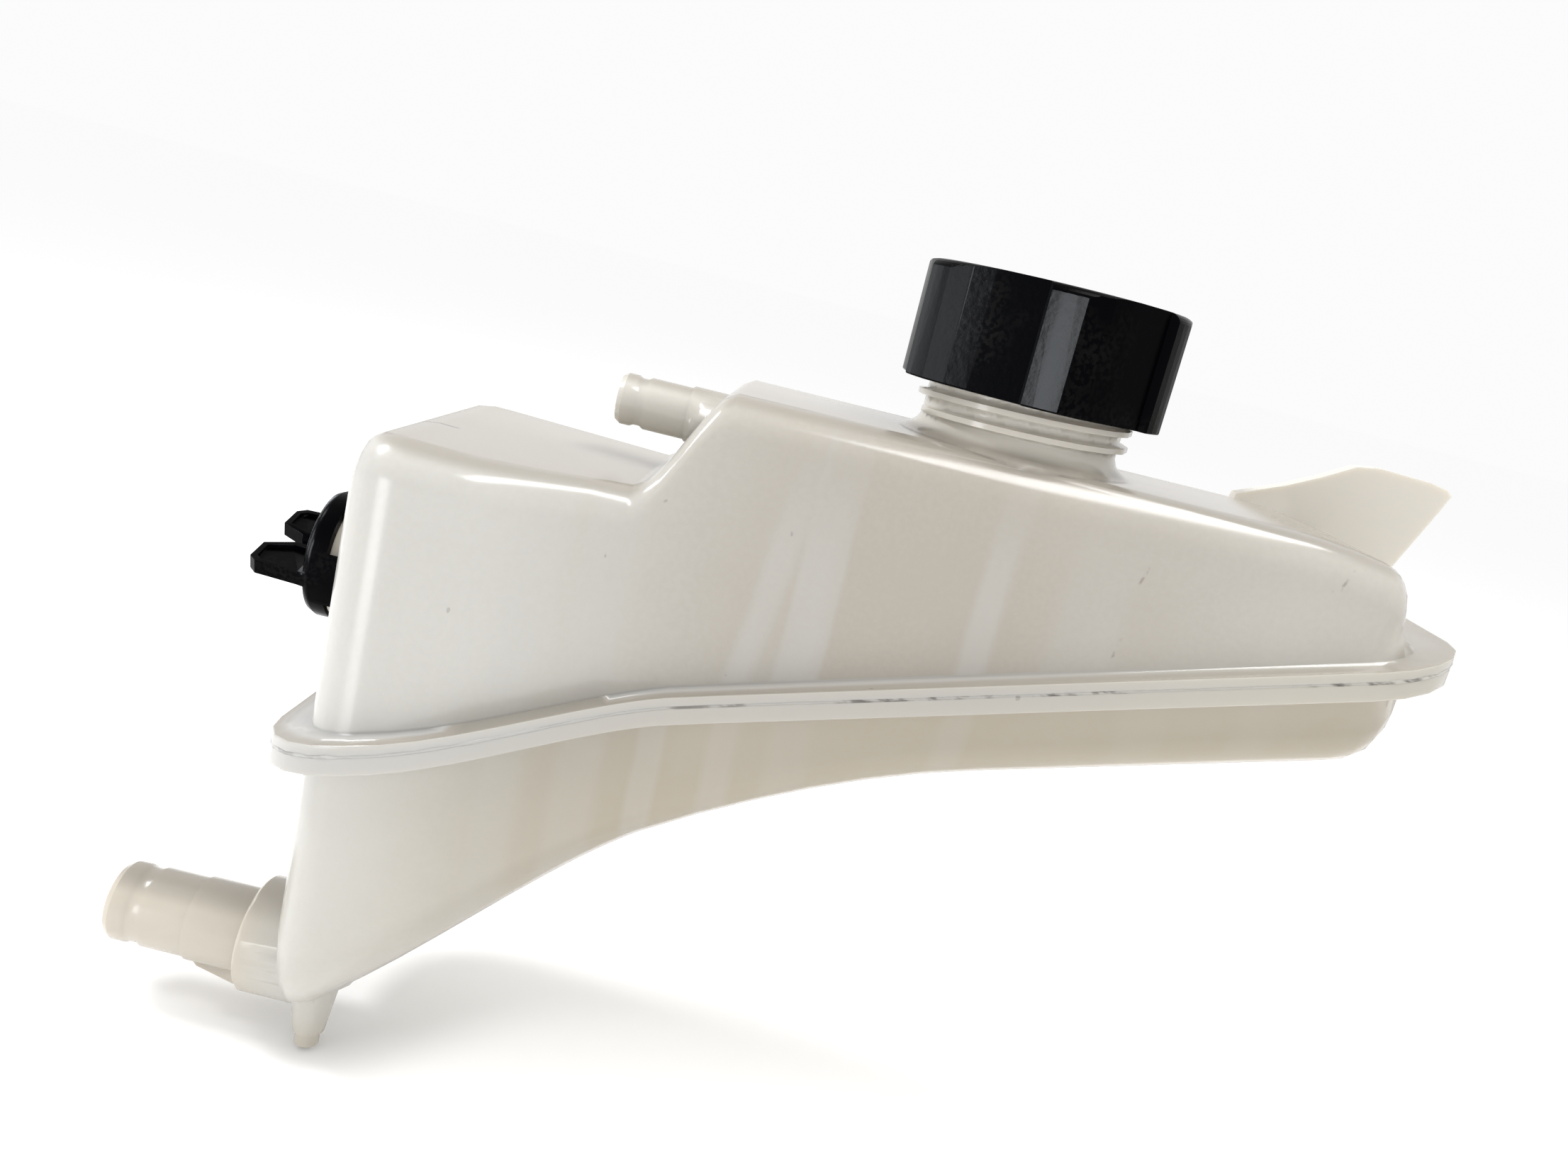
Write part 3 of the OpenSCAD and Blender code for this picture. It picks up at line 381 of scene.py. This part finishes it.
def grey_plastic():
    s = Shader("grey_plastic")
    shade = s.mix(s.spread(s.noise(80, 3), 0.3, 0.7), rgb(0.045, 0.047, 0.053), rgb(0.062, 0.064, 0.07))
    s.set(Base_Color=shade, Roughness=s.spread(s.noise(200, 3), 0.3, 0.7, 0.38, 0.52))
    s.bump(s.noise(800, 2), 0.1, 0.0002)
    return s.material


def dark_rubber():
    s = Shader("dark_rubber")
    shade = s.mix(s.spread(s.noise(150, 3), 0.3, 0.7), rgb(0.012, 0.012, 0.012), rgb(0.022, 0.021, 0.02))
    s.set(Base_Color=shade, Roughness=s.spread(s.noise(300, 3), 0.3, 0.7, 0.6, 0.8))
    s.bump(s.noise(1200, 2), 0.15, 0.0002)
    return s.material


def spring_steel():
    s = Shader("spring_steel")
    shade = s.mix(s.spread(s.noise(90, 3), 0.3, 0.7), rgb(0.56, 0.57, 0.59), rgb(0.42, 0.42, 0.43))
    s.set(Base_Color=shade, Roughness=s.spread(s.noise(500, 3), 0.3, 0.7, 0.25, 0.38), Metallic=1.0)
    s.bump(s.noise(1500, 2), 0.1, 0.0001)
    return s.material


FINISHES = {"milky_plastic": milky_plastic(), "black_plastic": black_plastic(),
            "grey_plastic": grey_plastic(), "dark_rubber": dark_rubber(), "spring_steel": spring_steel()}
SLOTS = {part["node"]: part["material_slot"] for part in frame["record"]["subparts"]}


def dress_nodes():
    for name, slot in SLOTS.items():
        node = frame["nodes"][name]
        node.data.materials.clear()
        node.data.materials.append(FINISHES[slot])


# Pieces
def flange_edge(edge):
    """Outer edges of the two flanges, at the weld plane and at their faces."""
    if not all(beyond_walls(vert.co) for vert in edge.verts):
        return False
    lifts = [vert.co.z - weld_height(vert.co.x) for vert in edge.verts]
    if abs(lifts[0] - lifts[1]) > LEVEL:
        return False
    return any(abs(lifts[0] - lift) < CLOSE for lift in (0.0, FLANGE_UPPER, -FLANGE_LOWER))


def cap_rim_edge(edge):
    """Edges of the cap's lower face."""
    return all(abs(vert.co.z - CAP_LOW) < CLOSE for vert in edge.verts)


def plug_edge(edge):
    """Edges of the plug's wings, but for those at their feet."""
    return all(vert.co.x < WINGS_END for vert in edge.verts)


def smooth_copy(name, softened=None, width=0.5 * MM, least=50, crease=33):
    """A piece that stands for a node: its mesh welded, some edges rounded, and shaded smooth.

    Convex edges that softened picks are rounded by the width where they turn by more than least degrees.
    Edges that turn by more than crease degrees stay sharp in the shading.
    """
    node = frame["nodes"][name]
    piece = bpy.data.objects.new(name + "_skin", node.data.copy())
    bpy.context.scene.collection.objects.link(piece)
    mesh = bmesh.new()
    mesh.from_mesh(piece.data)
    bmesh.ops.remove_doubles(mesh, verts=mesh.verts, dist=SAME_PLACE)
    bmesh.ops.dissolve_limit(mesh, angle_limit=SAME_PLANE, verts=mesh.verts, edges=mesh.edges)
    if softened:
        picked = [edge for edge in mesh.edges if len(edge.link_faces) == 2
                  and edge.calc_face_angle() > math.radians(least) and edge.is_convex and softened(edge)]
        bmesh.ops.bevel(mesh, geom=picked, offset=width, offset_type="OFFSET", segments=2, profile=0.5,
                        affect="EDGES", clamp_overlap=True)
    # The flat end walls stay whole, so that no long triangle shows in their shading
    bmesh.ops.triangulate(mesh, faces=[face for face in mesh.faces
                                       if len(face.verts) > 4 and abs(face.normal.x) < END_WALL])
    mesh.to_mesh(piece.data)
    mesh.free()
    for face in piece.data.polygons:
        face.use_smooth = True
    piece.data.set_sharp_from_angle(angle=math.radians(crease))
    shade = piece.modifiers.new("even", "WEIGHTED_NORMAL")
    shade.keep_sharp = True
    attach(piece, node["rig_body"])
    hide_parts(name)
    return piece


def soft_spring(name):
    """A spring's smooth copy, with a mesh of its own."""
    piece = smooth_copy(name)
    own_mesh(piece)


def make_bead():
    """The weld's squeezed-out bead, sunk between the two flanges' rounded edges."""
    sides, radius = 8, 0.55 * MM
    mesh = bmesh.new()
    path = outline(FLANGE_REACH - radius)
    count = len(path)
    rings = []
    for k, (x, y) in enumerate(path):
        ahead, behind = path[(k + 1) % count], path[k - 1]
        along = Vector((ahead[0] - behind[0], ahead[1] - behind[1])).normalized()
        out = Vector((along.y, -along.x))
        swell = radius * (1 + 0.1 * math.sin(2.3 * k) + 0.07 * math.sin(0.71 * k + 1))
        ring = []
        for j in range(sides):
            turn = 2 * math.pi * j / sides
            side = min(radius, swell * math.cos(turn))
            px, py = x + out.x * side, y + out.y * side
            ring.append(mesh.verts.new((px, py, weld_height(px) + swell * math.sin(turn))))
        rings.append(ring)
    for k in range(count):
        first, second = rings[k], rings[(k + 1) % count]
        for j in range(sides):
            mesh.faces.new((first[j], second[j], second[(j + 1) % sides], first[(j + 1) % sides]))
    bmesh.ops.recalc_face_normals(mesh, faces=mesh.faces)
    data = bpy.data.meshes.new("weld_bead")
    mesh.to_mesh(data)
    mesh.free()
    for face in data.polygons:
        face.use_smooth = True
    data.materials.append(FINISHES["milky_plastic"])
    bead = bpy.data.objects.new("weld_bead", data)
    bpy.context.scene.collection.objects.link(bead)
    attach(bead, "tank")


# Stage
def make_stage():
    white = Shader("studio_white")
    white.set(Base_Color=rgb(0.99, 0.99, 0.99), Roughness=1.0)
    white.surface.inputs["Specular IOR Level"].default_value = 0.0
    mesh = bmesh.new()
    bmesh.ops.create_grid(mesh, x_segments=1, y_segments=1, size=FLOOR_HALF)
    data = bpy.data.meshes.new("floor")
    mesh.to_mesh(data)
    mesh.free()
    data.materials.append(white.material)
    floor = bpy.data.objects.new("floor", data)
    floor.location = (0, 0, cad_box[0][2] - FLOOR_GAP)
    bpy.context.scene.collection.objects.link(floor)


def soft_light(name, place, aim, size, power, color=(1, 1, 1), only=()):
    lamp = bpy.data.lights.new(name, "AREA")
    lamp.shape = "RECTANGLE"
    lamp.size, lamp.size_y = size
    lamp.energy = power
    lamp.color = color
    light = bpy.data.objects.new(name, lamp)
    light.location = place
    light.rotation_euler = (Vector(aim) - Vector(place)).to_track_quat("-Z", "Y").to_euler()
    bpy.context.scene.collection.objects.link(light)
    if only:
        receivers = bpy.data.collections.new(name + "_receivers")
        for piece in only:
            receivers.objects.link(piece)
        light.light_linking.receiver_collection = receivers


def make_lights(dark_pieces):
    world = bpy.data.worlds.new("studio")
    world.use_nodes = True
    world.node_tree.nodes["Background"].inputs["Color"].default_value = (1, 1, 1, 1)
    world.node_tree.nodes["Background"].inputs["Strength"].default_value = 0.97
    bpy.context.scene.world = world
    bpy.context.scene.view_settings.view_transform = "Standard"
    middle = (0.06, 0.0, 0.12)
    soft_light("overhead", (0.36, -0.13, 1.0), middle, (0.85, 0.2), 6.8)
    soft_light("left_high", (-0.62, 0.12, 0.68), middle, (0.22, 0.26), 3.6, (0.97, 0.98, 1.0))
    soft_light("left_low", (-0.34, -0.36, 0.08), middle, (0.14, 0.16), 0.5, (0.95, 0.97, 1.0))
    cool = (0.90, 0.95, 1.0)
    cap_middle = (NECK.x, NECK.y, 0.188)
    soft_light("cap_front", (0.166, -0.57, 0.18), cap_middle, (0.24, 0.2), 12.0, cool, dark_pieces)
    soft_light("cap_left", (-0.39, -0.256, 0.18), cap_middle, (0.17, 0.2), 7.0, cool, dark_pieces)
    soft_light("cap_side", (-0.4625, -0.028, 0.18), cap_middle, (0.17, 0.2), 2.2, cool, dark_pieces)
    soft_light("cap_rear", (-0.385, 0.335, 0.18), cap_middle, (0.3, 0.2), 0.8, cool, dark_pieces)


make_camera()
dress_nodes()
smooth_copy("upper_shell", flange_edge)
smooth_copy("lower_shell", flange_edge)
cap = smooth_copy("cap_shell", cap_rim_edge, width=0.4 * MM, crease=7)
plug = smooth_copy("wing_plug", plug_edge, width=0.45 * MM, least=40)
soft_spring("pressure_spring")
soft_spring("vacuum_spring")
make_bead()
make_stage()
make_lights((cap, plug))
